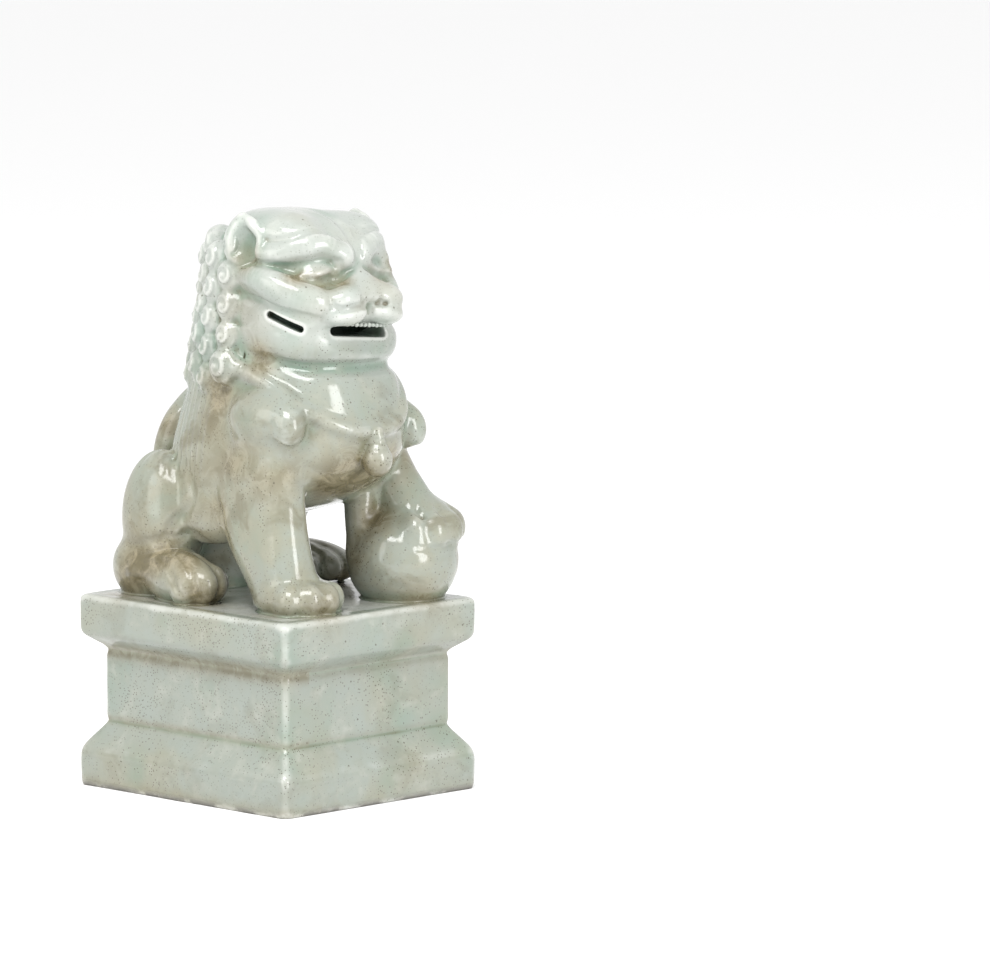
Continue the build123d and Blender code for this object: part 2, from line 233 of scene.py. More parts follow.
def smooth_line(points, spacing=0.9):
    """A dense smooth curve through a few points."""
    points = np.array(points, dtype=float)
    if len(points) == 2:
        count = max(2, int(np.linalg.norm(points[1] - points[0]) / spacing))
        t = np.linspace(0, 1, count)[:, None]
        return points[0] * (1 - t) + points[1] * t
    padded = np.vstack([2 * points[0] - points[1], points, 2 * points[-1] - points[-2]])
    line = []
    for i in range(len(points) - 1):
        a, b, c, d = padded[i : i + 4]
        count = max(2, int(np.linalg.norm(c - b) / spacing))
        t = np.linspace(0, 1, count, endpoint=False)[:, None]
        square = 2 * a - 5 * b + 4 * c - d
        cube = 3 * b - a - 3 * c + d
        line.append(0.5 * (2 * b + (c - a) * t + square * t**2 + cube * t**3))
    return np.vstack(line + [points[-1:]])


# ---- forms: each is (low corner, high corner, distance function) ----
def spin_matrix(turn):
    """The rotation for a turn in degrees about X, then Y, then Z."""
    about_x, about_y, about_z = (
        Matrix.Rotation(math.radians(degrees), 3, axis) for degrees, axis in zip(turn, "XYZ")
    )
    return np.array(about_z @ about_y @ about_x)


def egg(centre, radii, turn=(0, 0, 0), square=2.0):
    """An ellipsoid, turned by degrees about X, Y and Z. Square above 2 makes it boxier."""
    centre = above_deck(centre)
    rx, ry, rz = (float(r) for r in radii)
    spin = spin_matrix(turn)
    extent = np.sqrt((spin**2 @ np.array([rx, ry, rz]) ** 2))

    def distance(x, y, z):
        px, py, pz = x - centre[0], y - centre[1], z - centre[2]
        qx = spin[0, 0] * px + spin[1, 0] * py + spin[2, 0] * pz
        qy = spin[0, 1] * px + spin[1, 1] * py + spin[2, 1] * pz
        qz = spin[0, 2] * px + spin[1, 2] * py + spin[2, 2] * pz
        if square != 2.0:
            powers = np.abs(qx / rx) ** square + np.abs(qy / ry) ** square + np.abs(qz / rz) ** square
            unit = (powers + 1e-6) ** (1 / square)
            return np.sqrt(qx * qx + qy * qy + qz * qz) * (1 - 1 / unit)
        unit = np.sqrt((qx / rx) ** 2 + (qy / ry) ** 2 + (qz / rz) ** 2) + 1e-6
        slope = np.sqrt((qx / rx**2) ** 2 + (qy / ry**2) ** 2 + (qz / rz**2) ** 2) + 1e-6
        return unit * (unit - 1) / slope

    return centre - extent, centre + extent, distance


def block(centre, half, round_by, turn=(0, 0, 0)):
    """A box with rounded edges, turned by degrees about X, Y and Z."""
    centre = above_deck(centre)
    spin = spin_matrix(turn)
    extent = np.abs(spin) @ np.array(half, dtype=float)

    def distance(x, y, z):
        px, py, pz = x - centre[0], y - centre[1], z - centre[2]
        far = []
        for axis in range(3):
            along = spin[0, axis] * px + spin[1, axis] * py + spin[2, axis] * pz
            far.append(np.abs(along) - (half[axis] - round_by))
        outside = sum(np.maximum(q, 0) ** 2 for q in far) ** 0.5
        inside = np.minimum(np.maximum(np.maximum(far[0], far[1]), far[2]), 0)
        return outside + inside - round_by

    return centre - extent, centre + extent, distance


def roll(points, radii, spacing=2.0):
    """A rolled sausage of clay along a curve, with a radius for each given point."""
    line = smooth_line(above_deck(points), spacing)
    marks = np.linspace(0, 1, len(points))
    thick = np.interp(np.linspace(0, 1, len(line)), marks, radii)
    most = max(radii)

    def distance(x, y, z):
        best = np.float32(FAR)
        for i in range(len(line) - 1):
            a, b = line[i], line[i + 1]
            along = b - a
            size = float(along @ along) + 1e-9
            t = ((x - a[0]) * along[0] + (y - a[1]) * along[1] + (z - a[2]) * along[2]) / size
            t = np.clip(t, 0, 1)
            gap = np.sqrt(
                (x - a[0] - t * along[0]) ** 2
                + (y - a[1] - t * along[1]) ** 2
                + (z - a[2] - t * along[2]) ** 2
            )
            best = np.minimum(best, gap - (thick[i] + t * (thick[i + 1] - thick[i])))
        return best

    return line.min(axis=0) - most, line.max(axis=0) + most, distance


def stack(levels):
    """A lofted form.

    Each level: height, centre x, centre y, half width, front depth, back depth, squareness.
    """
    table = np.array(levels, dtype=float)
    table[:, 0] += DECK
    fine = np.linspace(table[0, 0], table[-1, 0], 240)
    columns = [np.interp(fine, table[:, 0], table[:, i]) for i in range(1, 7)]
    kernel = np.hanning(23)
    kernel /= kernel.sum()
    columns = [np.convolve(np.pad(c, 11, mode="edge"), kernel, mode="valid") for c in columns]
    widest = table[:, 3].max()
    low = np.array([
        table[:, 1].mean() - widest - STACK_SPARE,
        (table[:, 2] - table[:, 4]).min(),
        table[0, 0],
    ])
    high = np.array([
        table[:, 1].mean() + widest + STACK_SPARE,
        (table[:, 2] + table[:, 5]).max(),
        table[-1, 0],
    ])

    def distance(x, y, z):
        cx, cy, wide, front, back, square = (np.interp(z, fine, c) for c in columns)
        deep = np.where(y < cy, front, back)
        u = np.abs(x - cx) / wide + 1e-5
        v = np.abs(y - cy) / deep + 1e-5
        unit = (u**square + v**square) ** (1 / square) + 1e-4
        flat = np.hypot(x - cx, y - cy) * (1 - 1 / unit)
        ends = np.maximum(z - table[-1, 0], table[0, 0] - z)
        return np.maximum(flat, ends)

    return low, high, distance


def at_side(side, point):
    """A point given for the lion's left, moved to side +1 or -1."""
    return (side * point[0], point[1], point[2])


def line_at_side(side, *points):
    """A line of points given for the lion's left, moved to side +1 or -1."""
    return [at_side(side, point) for point in points]


def turned(side, turn):
    """A turn given for the lion's left, mirrored with its form."""
    return (turn[0], side * turn[1], side * turn[2])


SIDES = ((1, "left"), (-1, "right"))
LION_LOW = (-68, -82, DECK - 3)
LION_HIGH = (68, 80, DECK + 196)
clay = Clay(LION_LOW, LION_HIGH, STEP)

# ---- trunk: rump to neck, as levels above the deck ----
TRUNK = [
    (-6, 0, 50, 24, 16, 14, 2.0),
    (12, 0, 48, 28, 20, 19, 2.1),
    (24, 0, 43, 33, 22, 24, 2.2),
    (34, 0, 35, 37, 24, 31, 2.3),
    (41, 0, 24, 40, 32, 40, 2.4),
    (47, 0, 12, 43, 45, 48, 2.4),
    (62, 0, -3, 44, 53.5, 58, 2.5),
    (69, 0, -6, 44, 57, 59, 2.5),
    (76, 0, -9, 44, 58, 60, 2.6),
    (88, 0, -10, 43, 57.5, 57, 2.6),
    (100, 0, -10, 42.5, 55, 51, 2.6),
    (113, 0, -10, 41, 50, 46, 2.6),
    (134, 0, -12, 38, 42, 42, 2.4),
]
trunk = stack(TRUNK)
seam_y = node_box("breast")[1][1]


def half_of(form, front):
    """The part of a form before or behind the seam between the breast and the back."""
    low, high, distance = form

    def halved(x, y, z):
        beyond = (y - seam_y) if front else (seam_y - y)
        return np.maximum(distance(x, y, z), beyond)

    return low, high, halved


clay.press("breast", half_of(trunk, True), blend=0.3)
clay.press("back", half_of(trunk, False), blend=0.3)
clay.press("breast", egg((0, -45, 88), (30, 20.5, 20), (-12, 0, 0)), blend=7)
clay.press("back", egg((-30.5, 14, 42), (13, 26, 15)), blend=6)
clay.press("back", egg((27, 32, 41), (12, 16, 15)), blend=5)
clay.press("breast", egg((0, -40, 105), (33, 22, 16)), blend=7)

# ---- head: a boxy cranium, cheeks, muzzle and jaw, leaning a little to the lion's left ----
HEAD = np.array((0.0, -14.5, 155.5))
HEAD_PIVOT = 130
HEAD_LEAN = 3
clay.pivot = (0.0, DECK + HEAD_PIVOT)
clay.lean = math.radians(HEAD_LEAN)
clay.press("head", egg(HEAD - (2.5, 0, 0), (35.5, 41, 35.5), square=2.5), blend=5)
clay.press("head", egg((-2, -6, 141), (36.5, 38, 32), square=2.4), blend=6)


LEFT_NARROW = 0.82
LEFT_BACK = 3.5


def on_face(side, place):
    """A place on the head's right side, or its match on the left, which is narrower and further back."""
    x, y, z = place
    if side < 0:
        return (-abs(x), y, z)
    return (abs(x) * LEFT_NARROW, y + LEFT_BACK, z)


for side, name in SIDES:
    clay.press("head", egg(on_face(side, (23.5, -31, 144)), (17.5, 27, 22), square=2.3), blend=6)
    cheek = [on_face(side, p) for p in (
        (39.5, -16, 160), (40.5, -27, 159.5), (39.5, -37, 157),
        (35.5, -47, 153), (28, -55, 149.5), (19, -59, 147.5),
    )]
    clay.press("head", roll(cheek, (4.0, 6.2, 7.0, 6.8, 6.0, 5.0)), blend=7)
clay.press("head", egg((0, -42, 146), (34, 21, 11), square=2.3), blend=4)
for side, name in SIDES:
    lip = egg(at_side(side, (12, -57.5, 144)), (13, 11.5, 6.8), turned(side, (0, 8, 0)))
    clay.press("head", lip, blend=3)
clay.press("head", egg((25, -42, 163), (8, 8, 9.5)), blend=4)
clay.press("head", egg((-22, -17, 181), (18, 22, 10)), blend=6)
clay.press("lower_jaw", egg((-1, -34, 129), (38.5, 26.5, 13.5), square=2.5), blend=3.5)
clay.press("lower_jaw", egg((-0.5, -36, 123.5), (36.5, 24.5, 9)), blend=4)

# ---- nose, brows, eyes, ears ----
clay.press("nose", egg((0, -55, 154), (17, 11.5, 8.5), (16, 0, 0)), blend=3)
clay.press("nose", egg((0, -49.5, 160), (8, 9, 6)), blend=5)
EAR = (10.4, 6.4, 14)
EAR_TIP = (5.2, 4.2, 7.4)
EAR_HOLLOW = (5.4, 3.6, 8.5)
EAR_HOLLOW_OUT = 9.9
EAR_RIM = ((2, 0, 14), (1.5, -7, 11), (0.5, -12, 5.5), (2, -12.5, -1.5))
for side, name in SIDES:
    wing = egg(at_side(side, (13.5, -60.5, 151)), (10, 7.6, 6.8), turned(side, (0, 12, 0)))
    clay.press("nose", wing, blend=3)
    brow = [on_face(side, p) for p in (
        (37.5, -29, 171), (35, -36.5, 171.5), (27.5, -45, 174.5),
        (18, -49.5, 176), (8.5, -53, 170.5),
    )]
    clay.press(f"{name}_brow", roll(brow, (4.8, 5.2, 6.0, 5.6, 4.4)), blend=4.5)
    clay.press(f"{name}_brow", egg(on_face(side, (24, -30, 180)), (14, 17, 9.5)), blend=6)
    clay.press(f"{name}_brow", egg(on_face(side, (8, -50, 172)), (6, 7, 6)), blend=4)
    eye = egg(on_face(side, (24, -48.5, 163.5)), (9.5, 4.8, 4.6), turned(side, (0, 16, 26)))
    clay.press(f"{name}_eye", eye, blend=2.0)
    face_out = np.array((side * 0.7071, -0.7071, 0))
    ear_centre = np.array(at_side(side, (38.0 if side < 0 else 33.5, -15.5, 173.5)))
    ear_turn = turned(side, (0, 8, 45))
    clay.press(f"{name}_ear", egg(ear_centre, EAR, ear_turn), blend=1.5)
    clay.press(f"{name}_ear", egg(ear_centre + (side * 1.5, 0, 8), EAR_TIP, ear_turn), blend=3)
    hollow_at = ear_centre + EAR_HOLLOW_OUT * face_out + (-side * 2.4, 2.4, 1.0)
    clay.cut_away(egg(hollow_at, EAR_HOLLOW, turned(side, (0, 14, 45))), blend=4)
    rim = [ear_centre + at_side(side, point) for point in EAR_RIM]
    clay.press(f"{name}_ear", roll(rim, (2.4, 3.0, 3.0, 2.2)), blend=1.6)

# ---- folds of the face, pressed in with a tool ----
for side, name in SIDES:
    for width, depth, fold in (
        (2.4, 2.2, ((38, -34, 165), (33, -46, 164.5), (27, -52, 166), (14, -56, 168.5))),
        (1.7, 2.4, ((34, -47, 160), (27, -53, 159), (16, -57, 161.5), (5, -59, 165))),
        (1.2, 1.3, ((30, -51, 156), (22, -56, 156.5), (13, -60, 159.5))),
        (1.8, 1.7, ((24, -60, 149), (18, -64, 147), (9, -66, 147), (3, -66, 148))),
        (1.7, 1.2, ((39, -26, 178), (31, -40, 179), (20, -48, 181), (8, -51, 178))),
        (1.4, 1.0, ((3, -57, 170), (4.5, -55, 175), (6, -48, 182))),
        (1.2, 1.3, ((9, -66, 152), (6, -66, 149.5), (3, -66, 150))),
        (2.4, 2.0, ((42, -16, 150), (41, -30, 148), (35, -44, 144.5), (26, -54, 143))),
        (1.6, 1.2, ((42, -20, 162), (40, -31, 165.5))),
    ):
        clay.stroke([on_face(side, p) for p in fold], width, depth)
under_jaw = [
    (-42, -20, 120), (-39, -37, 119), (-25, -52, 117), (0, -59, 116.5),
    (25, -52, 116.5), (39, -37, 118), (42, -20, 119),
]
clay.stroke(under_jaw, 3.2, 2.6)
clay.stroke([(0, -22, 190), (0, -38, 186), (0, -52, 176)], 2.4, 1.3)
clay.stroke([(0, -68, 149), (0, -68, 144), (0, -66, 139)], 2.0, 2.4)

# ---- mouth: a front slot and a slanted one on each side, opening into the hollow head ----
SLOT_TURN = 3
MOUTH_TILT = math.radians(HEAD_LEAN + SLOT_TURN)
MOUTH_X = -0.8
clay.cut_away(block((MOUTH_X, -54, 134.6), (18.4, 20, 2.4), 2.2, (0, SLOT_TURN, 0)), blend=1.0)
for side, name in SIDES:
    slot = block(at_side(side, (34.3, -42.6, 139.2)), (13, 10.2, 1.7), 1.6, turned(side, (20, 0, -28)))
    clay.cut_away(slot, blend=0.8)
clay.cut_away(egg((0, -30, 140), (31, 22, 11)), blend=1.0)

# ---- mane: snail curls in staggered columns round the back of the head ----
CURL = 7.5
SPIRAL_START = 2.2
SPIRAL_SWEEP = 8.2
NAPE_BEARING = 90


def curl_column(bearing, first_height, count, drop=14.6):
    """Curls down one column. The bearing is in degrees round the head from the lion's left to its back."""
    angle = math.radians(bearing)
    for index in range(count):
        height = first_height - drop * index
        high_up = max(0.0, (height - 2) / 34)
        low_down = max(0.0, -(height + 2) / 40)
        bulge = (1 - high_up**2.6) ** (1 / 2.6)
        x = 39.0 * bulge * math.copysign(abs(math.cos(angle)) ** 0.8, math.cos(angle))
        y = -11 + (37.5 + 9 * low_down) * bulge * math.sin(angle) ** 0.9
        yield np.array((x, y, HEAD[2] + height - 2))


def press_curl(name, centre, size, hand):
    """One snail curl: a button of clay with a spiral groove cut round it."""
    clay.press(name, egg(centre, (size, size, size * 1.12)), blend=2.6)
    outward = np.array((centre[0], centre[1] + 10, 0.0))
    outward /= np.linalg.norm(outward)
    across = np.array((-outward[1], outward[0], 0.0)) * hand
    up = np.array((0, 0, 1.0))
    spiral = []
    for turn in np.linspace(0, 1, 9):
        angle = SPIRAL_START + SPIRAL_SWEEP * turn
        radius = size * (0.86 - 0.66 * turn)
        lift = math.sqrt(max(size * size - radius * radius, 0))
        spot = centre + across * radius * math.cos(angle) + up * radius * math.sin(angle)
        spiral.append(spot + outward * lift)
    clay.stroke(spiral, 1.4, 1.15)


CURL_COLUMNS = (
    (3, 20, 4), (19, 13, 5), (35, 18, 5), (50, 12, 5), (64, 18, 5), (77, 12, 5),
    (NAPE_BEARING, 18, 5),
)
for bearing, first_height, count in CURL_COLUMNS:
    sides = SIDES[:1] if bearing == NAPE_BEARING else SIDES
    for middle in curl_column(bearing, first_height, count):
        for side, name in sides:
            spot = middle * (side, 1, 1)
            group = "nape_curls" if abs(spot[0]) < 15 else f"{name}_mane_curls"
            size = CURL * (1 + 0.09 * math.sin(2.3 * bearing + 1.7 * (middle[2] + DECK) + side))
            press_curl(group, spot, size, side)
clay.lean = 0.0
for side, name in SIDES:
    press_curl(f"{name}_mane_curls", np.array((side * 41.0, -8, 117)), 8.6, side)
    for lean_out in range(5):
        tuft = line_at_side(side, (45, -9 + 3 * lean_out, 108), (46, -6 + 4 * lean_out, 96))
        clay.stroke(tuft, 1.2, 1.1)

# ---- harness: a strap, and pear-shaped bells ----
strap = [
    (-41, -14, 117), (-43, -30, 113), (-42, -45, 107), (-33, -57, 98),
    (-18, -64, 90), (0, -67, 87), (18, -64, 90), (33, -57, 98),
    (42, -45, 107), (43, -30, 113), (41, -14, 117),
]
strap_line = clay.onto_surface(smooth_line(above_deck(strap), 3.0)) - (0, 0, DECK)
clay.press("collar", roll(strap_line, [3.0] * len(strap_line), 3.0), blend=4)
clay.press("breast_bell", egg((0, -70, 73), (7.4, 7.2, 8.0)), blend=1.6)
clay.press("breast_bell", roll([(0, -70, 76), (0, -70.5, 87)], (5.8, 2.2)), blend=2.5)
for side, name in SIDES:
    knob_z = 82 if side > 0 else 90
    clay.press(f"{name}_shoulder_bell", egg(at_side(side, (41, -51.5, knob_z)), (7.4, 7.4, 8.8)), blend=3.2)
    clay.press(f"{name}_shoulder_bell", egg(at_side(side, (39, -43, knob_z + 6)), (9, 12, 9)), blend=7)
    clay.press(f"{name}_shoulder_bell", egg(at_side(side, (38.5, -34, knob_z + 2)), (9.5, 13, 10)), blend=9)
    shoulder_edge = line_at_side(
        side, (46, -24, knob_z - 8), (48, -36, knob_z - 9), (46, -48, knob_z - 9), (38, -58, knob_z - 9),
    )
    clay.stroke(shoulder_edge, 2.6, 1.5)
    elbow_crease = line_at_side(side, (48, -30, 62), (50, -42, 63), (44, -54, 62))
    clay.stroke(elbow_crease, 2.4, 1.1)

# ---- right foreleg, standing on the deck ----
clay.press("right_foreleg", egg((-38, -31, 93), (13.5, 20, 15)), blend=3)
RIGHT_LEG = [
    (4, -32, -43, 15, 17, 19, 2.2),
    (16, -33, -40, 14.5, 16, 24, 2.2),
    (28, -34, -35.5, 14, 18.5, 29, 2.2),
    (40, -34.5, -32, 13.5, 20, 31, 2.2),
    (52, -34.5, -30, 13.5, 20.5, 31, 2.2),
    (66, -35, -30, 14, 21, 25, 2.2),
    (84, -34, -32, 13, 20, 20, 2.2),
]
clay.press("right_foreleg", stack(RIGHT_LEG), blend=5)
leg_back = [(-46, -2, 56), (-46, -3, 49), (-46, -7, 38), (-44, -11, 26)]
clay.stroke(leg_back, 2.8, 1.8)
clay.press("right_forepaw", egg((-31.5, -44, 7), (18, 19.5, 12.5), (0, 0, 8)), blend=3)
RIGHT_TOES = (
    (-44, -53.5, 6.5, 7.2), (-35.5, -59.5, 7, 7.4), (-26, -60.5, 7, 7.4), (-17, -55, 6.5, 7.0),
)
for x, y, z, size in RIGHT_TOES:
    clay.press("right_forepaw", egg((x, y, z), (size * 0.9, size, size * 1.12)), blend=3.6)

# ---- ball, and the left foreleg resting on it ----
clay.press("ball", egg((39.0, -47.6, 19), (27.4, 27.2, 26.6)), blend=2.5)
clay.press("left_foreleg", egg((33, -33, 88), (13, 17, 17)), blend=6)
LEFT_LEG = [
    (34, 43.5, -49, 16, 20, 18, 2.1),
    (44, 43, -47, 15.5, 18, 18, 2.1),
    (52, 40.5, -42.5, 14.5, 16.5, 17, 2.1),
    (62, 38, -38, 13.5, 14.5, 17, 2.1),
    (72, 35.5, -34.5, 12.5, 14, 17, 2.1),
    (86, 33, -32, 12, 16, 17, 2.1),
]
clay.press("left_foreleg", stack(LEFT_LEG), blend=5)
clay.press("left_foreleg", roll([(28, -33, 64), (22, -36, 46), (21.5, -37, 24)], (10, 8, 7)), blend=4)
clay.press("left_forepaw", egg((46, -54, 38), (18.5, 20.5, 11.5), (12, 0, 0)), blend=3.5)
LEFT_TOES = (
    (31.5, -63, 33.5, 8.2), (40.5, -67.5, 33, 8.6), (50.5, -67, 33, 8.4), (59.5, -61, 33.5, 7.8),
)
for x, y, z, size in LEFT_TOES:
    clay.press("left_forepaw", egg((x, y, z), (size * 0.8, size * 0.9, size * 1.1)), blend=3.6)
for x, y in ((34.5, -62), (43.5, -64.5), (52.5, -65.5)):
    knuckle_gap = [(x + 2, y + 3, 45), (x, y - 0.5, 37), (x, y, 29)]
    clay.stroke(knuckle_gap, 1.7, 1.5)
clay.stroke([(27, -70, 27), (43, -78, 26.5), (60, -70, 26.5), (68, -54, 27)], 1.8, 1.2)

# ---- hindquarters ----
clay.press("tail", egg((0, 63, 66), (20, 12.5, 30), (13, 0, 0)), blend=3)
clay.press("tail", egg((0, 56, 88), (9, 8, 13), (22, 0, 0)), blend=4)
for side, name in SIDES:
    clay.press(f"{name}_haunch", egg(at_side(side, (35.5, 43, 37)), (17.5, 23, 34)), blend=2.5)
    clay.press(f"{name}_haunch", egg(at_side(side, (35, 50, 13)), (19, 22, 19)), blend=4)
    foot_tall = 13.5 if side < 0 else 10.0
    foot = egg(at_side(side, (43.5, 22, 11)), (14.5, 27, foot_tall), turned(side, (4, 0, 8)))
    clay.press(f"{name}_hind_paw", foot, blend=1.5)
    for x, y, z, size in ((53, 10, 7, 7.5), (47, 4, 9, 8.5), (39.5, 4.5, 9.5, 8.5), (32.5, 9.5, 8.5, 7.2)):
        toe = egg(at_side(side, (x, y, z)), (size * 0.85, size, size * foot_tall / 12.5))
        clay.press(f"{name}_hind_paw", toe, blend=1.4)
    instep_z = 1.25 * foot_tall
    instep = line_at_side(side, (51, 44, instep_z - 4), (47, 28, instep_z), (42, 13, instep_z - 1))
    clay.press(f"{name}_hind_paw", roll(instep, (5, 4.5, 3.5)), blend=4)
    foot_edge = line_at_side(side, (52, 50, 24), (50, 34, 28), (46, 18, 30), (40, 8, 26))
    clay.stroke(foot_edge, 2.6, 1.8)
    for x, y in ((55, 16), (50, 9), (43, 6), (36, 8)):
        crease = line_at_side(side, (x - 2, y + 12, 22), (x, y, 16), (x, y - 8, 6))
        clay.stroke(crease, 1.5, 1.3)
    fold = line_at_side(side, (44, 24, 69), (47, 17, 59), (48, 14, 52), (48, 19, 42), (47, 30, 30))
    clay.stroke(fold, 2.8, 2.0)

# ---- hair combed down the shoulders and the tail ----
for side, name in SIDES:
    for strand in range(9):
        reach = 3.9 * strand
        top = (side * (44 - 0.30 * reach), 2 + 1.15 * reach, 104 + 0.1 * reach)
        middle = (side * (46 - 0.28 * reach), 8 + 1.2 * reach, 84)
        low = (side * (45 - 0.25 * reach), 10 + 1.15 * reach, 62 - 0.2 * reach)
        clay.stroke([top, middle, low], 1.5, 0.9 + 0.25 * (strand % 2))
    for strand in range(6):
        reach = 3.2 * strand
        start, end = (side * (2.5 + reach), 74, 90 - reach), (side * (4 + reach * 1.15), 76, 50)
        clay.stroke([start, end], 1.2, 0.8)

# ---- the deck, pressed in last so that every foot is luted to it ----
lion_owner = clay.owner.copy()
clay.press("deck", block((0, 0, -40), (400, 400, 40), 0.1), blend=2.2)
clay.owner = lion_owner


# ---- skinning the clay ----
def skin(field, low, step):
    """A quad mesh of the surface where the field is zero, with one vertex in each voxel it crosses."""
    inside = field < 0
    corners = [(i >> 2 & 1, i >> 1 & 1, i & 1) for i in range(8)]
    shape = np.array(field.shape) - 1
    count = np.zeros(shape, dtype=np.uint8)
    for dx, dy, dz in corners:
        count += inside[dx : shape[0] + dx, dy : shape[1] + dy, dz : shape[2] + dz]
    cells = np.argwhere((count > 0) & (count < 8))
    number = np.full(shape, -1, dtype=np.int32)
    number[tuple(cells.T)] = np.arange(len(cells))
    total = np.zeros((len(cells), 3), dtype=np.float32)
    hits = np.zeros(len(cells), dtype=np.float32)
    values = [field[cells[:, 0] + dx, cells[:, 1] + dy, cells[:, 2] + dz] for dx, dy, dz in corners]
    for a in range(8):
        for axis_bit in (4, 2, 1):
            b = a | axis_bit
            if a & axis_bit:
                continue
            crosses = (values[a] < 0) != (values[b] < 0)
            gap = np.where(crosses, values[a] - values[b], 1)
            t = values[a] / gap
            start = np.array(corners[a], dtype=np.float32)
            along = np.array(corners[b], dtype=np.float32) - start
            total += np.where(crosses[:, None], start + t[:, None] * along, 0)
            hits += crosses
    vertices = (cells + total / hits[:, None]) * step + low
    quads = []
    for axis in range(3):
        other = [i for i in range(3) if i != axis]
        ahead = [slice(None)] * 3
        behind = [slice(None)] * 3
        ahead[axis] = slice(1, None)
        behind[axis] = slice(None, -1)
        first, second = inside[tuple(behind)], inside[tuple(ahead)]
        for leaving in (True, False):
            edges = np.argwhere((first & ~second) if leaving else (~first & second))
            keep = (edges[:, other[0]] > 0) & (edges[:, other[1]] > 0)
            keep &= (edges[:, other[0]] < shape[other[0]]) & (edges[:, other[1]] < shape[other[1]])
            edges = edges[keep]
            ring = []
            for back_one, back_two in ((1, 1), (0, 1), (0, 0), (1, 0)):
                cell = edges.copy()
                cell[:, other[0]] -= back_one
                cell[:, other[1]] -= back_two
                ring.append(number[tuple(cell.T)])
            ring = np.stack(ring, axis=1)
            if leaving == (axis == 1):
                ring = ring[:, ::-1]
            quads.append(ring)
    return vertices, np.vstack(quads)


vertices, quads = skin(clay.field, clay.low, clay.step)
vertices = clay.onto_surface(vertices, rounds=2, most=0.5 * clay.step)
normals = clay.slope(vertices)
normals /= np.linalg.norm(normals, axis=1)[:, None] + 1e-9

# The flat deck belongs to the plinth; only the lion's own skin is kept.
centres = vertices[quads].mean(axis=1)
quads = quads[(centres[:, 2] > DECK + 0.05)]
centres = vertices[quads].mean(axis=1)


def soften(values, reach):
    """Box-blur an array three times over, which comes near a Gaussian."""
    size = 2 * reach + 1
    for _ in range(3):
        for axis in range(3):
            padding = [(0, 0)] * 3
            padding[axis] = (reach + 1, reach)
            total = np.cumsum(np.pad(values, padding, mode="edge"), axis=axis, dtype=np.float32)
            ahead = [slice(None)] * 3
            behind = [slice(None)] * 3
            ahead[axis] = slice(size, None)
            behind[axis] = slice(None, -size)
            values = (total[tuple(ahead)] - total[tuple(behind)]) / size
    return values


def how_hollow(reach_mm):
    """At each vertex: 0.5 on flat clay, more in a hollow, less on a ridge."""
    solid = np.clip(0.5 - clay.field / clay.step, 0, 1)
    every = 1 if reach_mm < 2 else 2
    if every == 2:
        even = [size // 2 * 2 for size in solid.shape]
        solid = solid[: even[0], : even[1], : even[2]]
        solid = (solid[::2, ::2, ::2] + solid[1::2, 1::2, 1::2]) * 0.5
    blurred = soften(solid, max(1, round(reach_mm / (clay.step * every))))
    at = (vertices - clay.low) / (clay.step * every) - (0.25 if every == 2 else 0)
    points = np.clip(at, 0, np.array(blurred.shape) - 1.001) * clay.step + clay.low
    return clay.sample(points, blurred)


fine_hollow = how_hollow(1.2)
wide_hollow = how_hollow(4.5)

# Which form each face belongs to.
at = np.clip(((centres - clay.low) / clay.step).round().astype(int), 0, np.array(clay.field.shape) - 1)
face_owner = clay.owner[at[:, 0], at[:, 1], at[:, 2]]

glaze = bpy.data.materials.new("celadon_glaze")

foot_top = node_box("plinth_foot")[1][2]
waist_top = node_box("plinth_cap")[0][2]
# Where brown stain has settled in the glaze, with painted shade in the same spots: on the cheek, beneath the
# ear, under the jaw and the chest, behind the ball and where the feet meet the deck. Each spot: a middle, how
# far it spreads, and how strong it is.
STAIN_AND_SHADE_SPOTS = (
    ((-38, -17, 146), 13, 0.35), ((-47, -40, 63), 10, 0.5), ((-40, -52, 68), 7, 0.5),
    ((-40, -30, 123), 8, 1.1), ((-42, -22, 171), 7, 0.9), ((4, -58, 62), 14, 1.5),
    ((-14, -54, 62), 10, 0.7), ((-53, 42, 14), 12, 1.1), ((-52, 24, 23), 9, 1.3),
    ((-47, 12, 28), 8, 1.1), ((-50, 2, 6), 7, 1.3), ((-42, -2, 5), 5, 1.0),
    ((-43, -4, 104), 9, 1.3), ((-47, 2, 90), 10, 0.7), ((-47, -16, 70), 10, 0.6),
    ((-12, 66, 66), 12, 0.6), ((-16, 60, 80), 8, 0.6), ((-33, -48, 163), 5.5, 1.1),
    ((-13, -58, 161), 6, 0.9), ((-23, -55, 160), 5, 0.8), ((-38, -34, 160), 4, 0.5),
    ((-48, -10, 40), 10, 0.5), ((22, -46, 40), 9, 1.0), ((18, -40, 22), 10, 0.8),
    ((-40, 24, 2), 16, 0.6), ((-48, -46, 2), 9, 0.4), ((34, -60, 1), 12, 0.7),
    ((-14, -58, 68), 15, 0.55), ((-46, 8, 58), 20, 0.40), ((-52, 45, 34), 18, 0.28),
    ((-44, -26, 78), 12, 0.45), ((-46, -5, 46), 7, 0.7), ((-46, -12, 28), 7, 0.6),
    ((-38, -48, 84), 5, 0.5), ((-44, -34, 92), 8, 0.3), ((-52, 8, 18), 6, 0.7),
    ((-48, -20, 105), 10, 0.4), ((-30, -60, 1), 12, 0.4), ((-52, 56, 4), 9, 0.7),
)
# The same on the plinth, as bands of brown stain and painted shade under the cap's overhang, above the foot
# and at the floor: a height in the CAD's frame, a spread and a strength.
STAIN_AND_SHADE_BANDS = ((waist_top - 0.5, 4.2, 0.60), (foot_top + 1.5, 2.2, 0.35), (2, 3.5, 0.35))


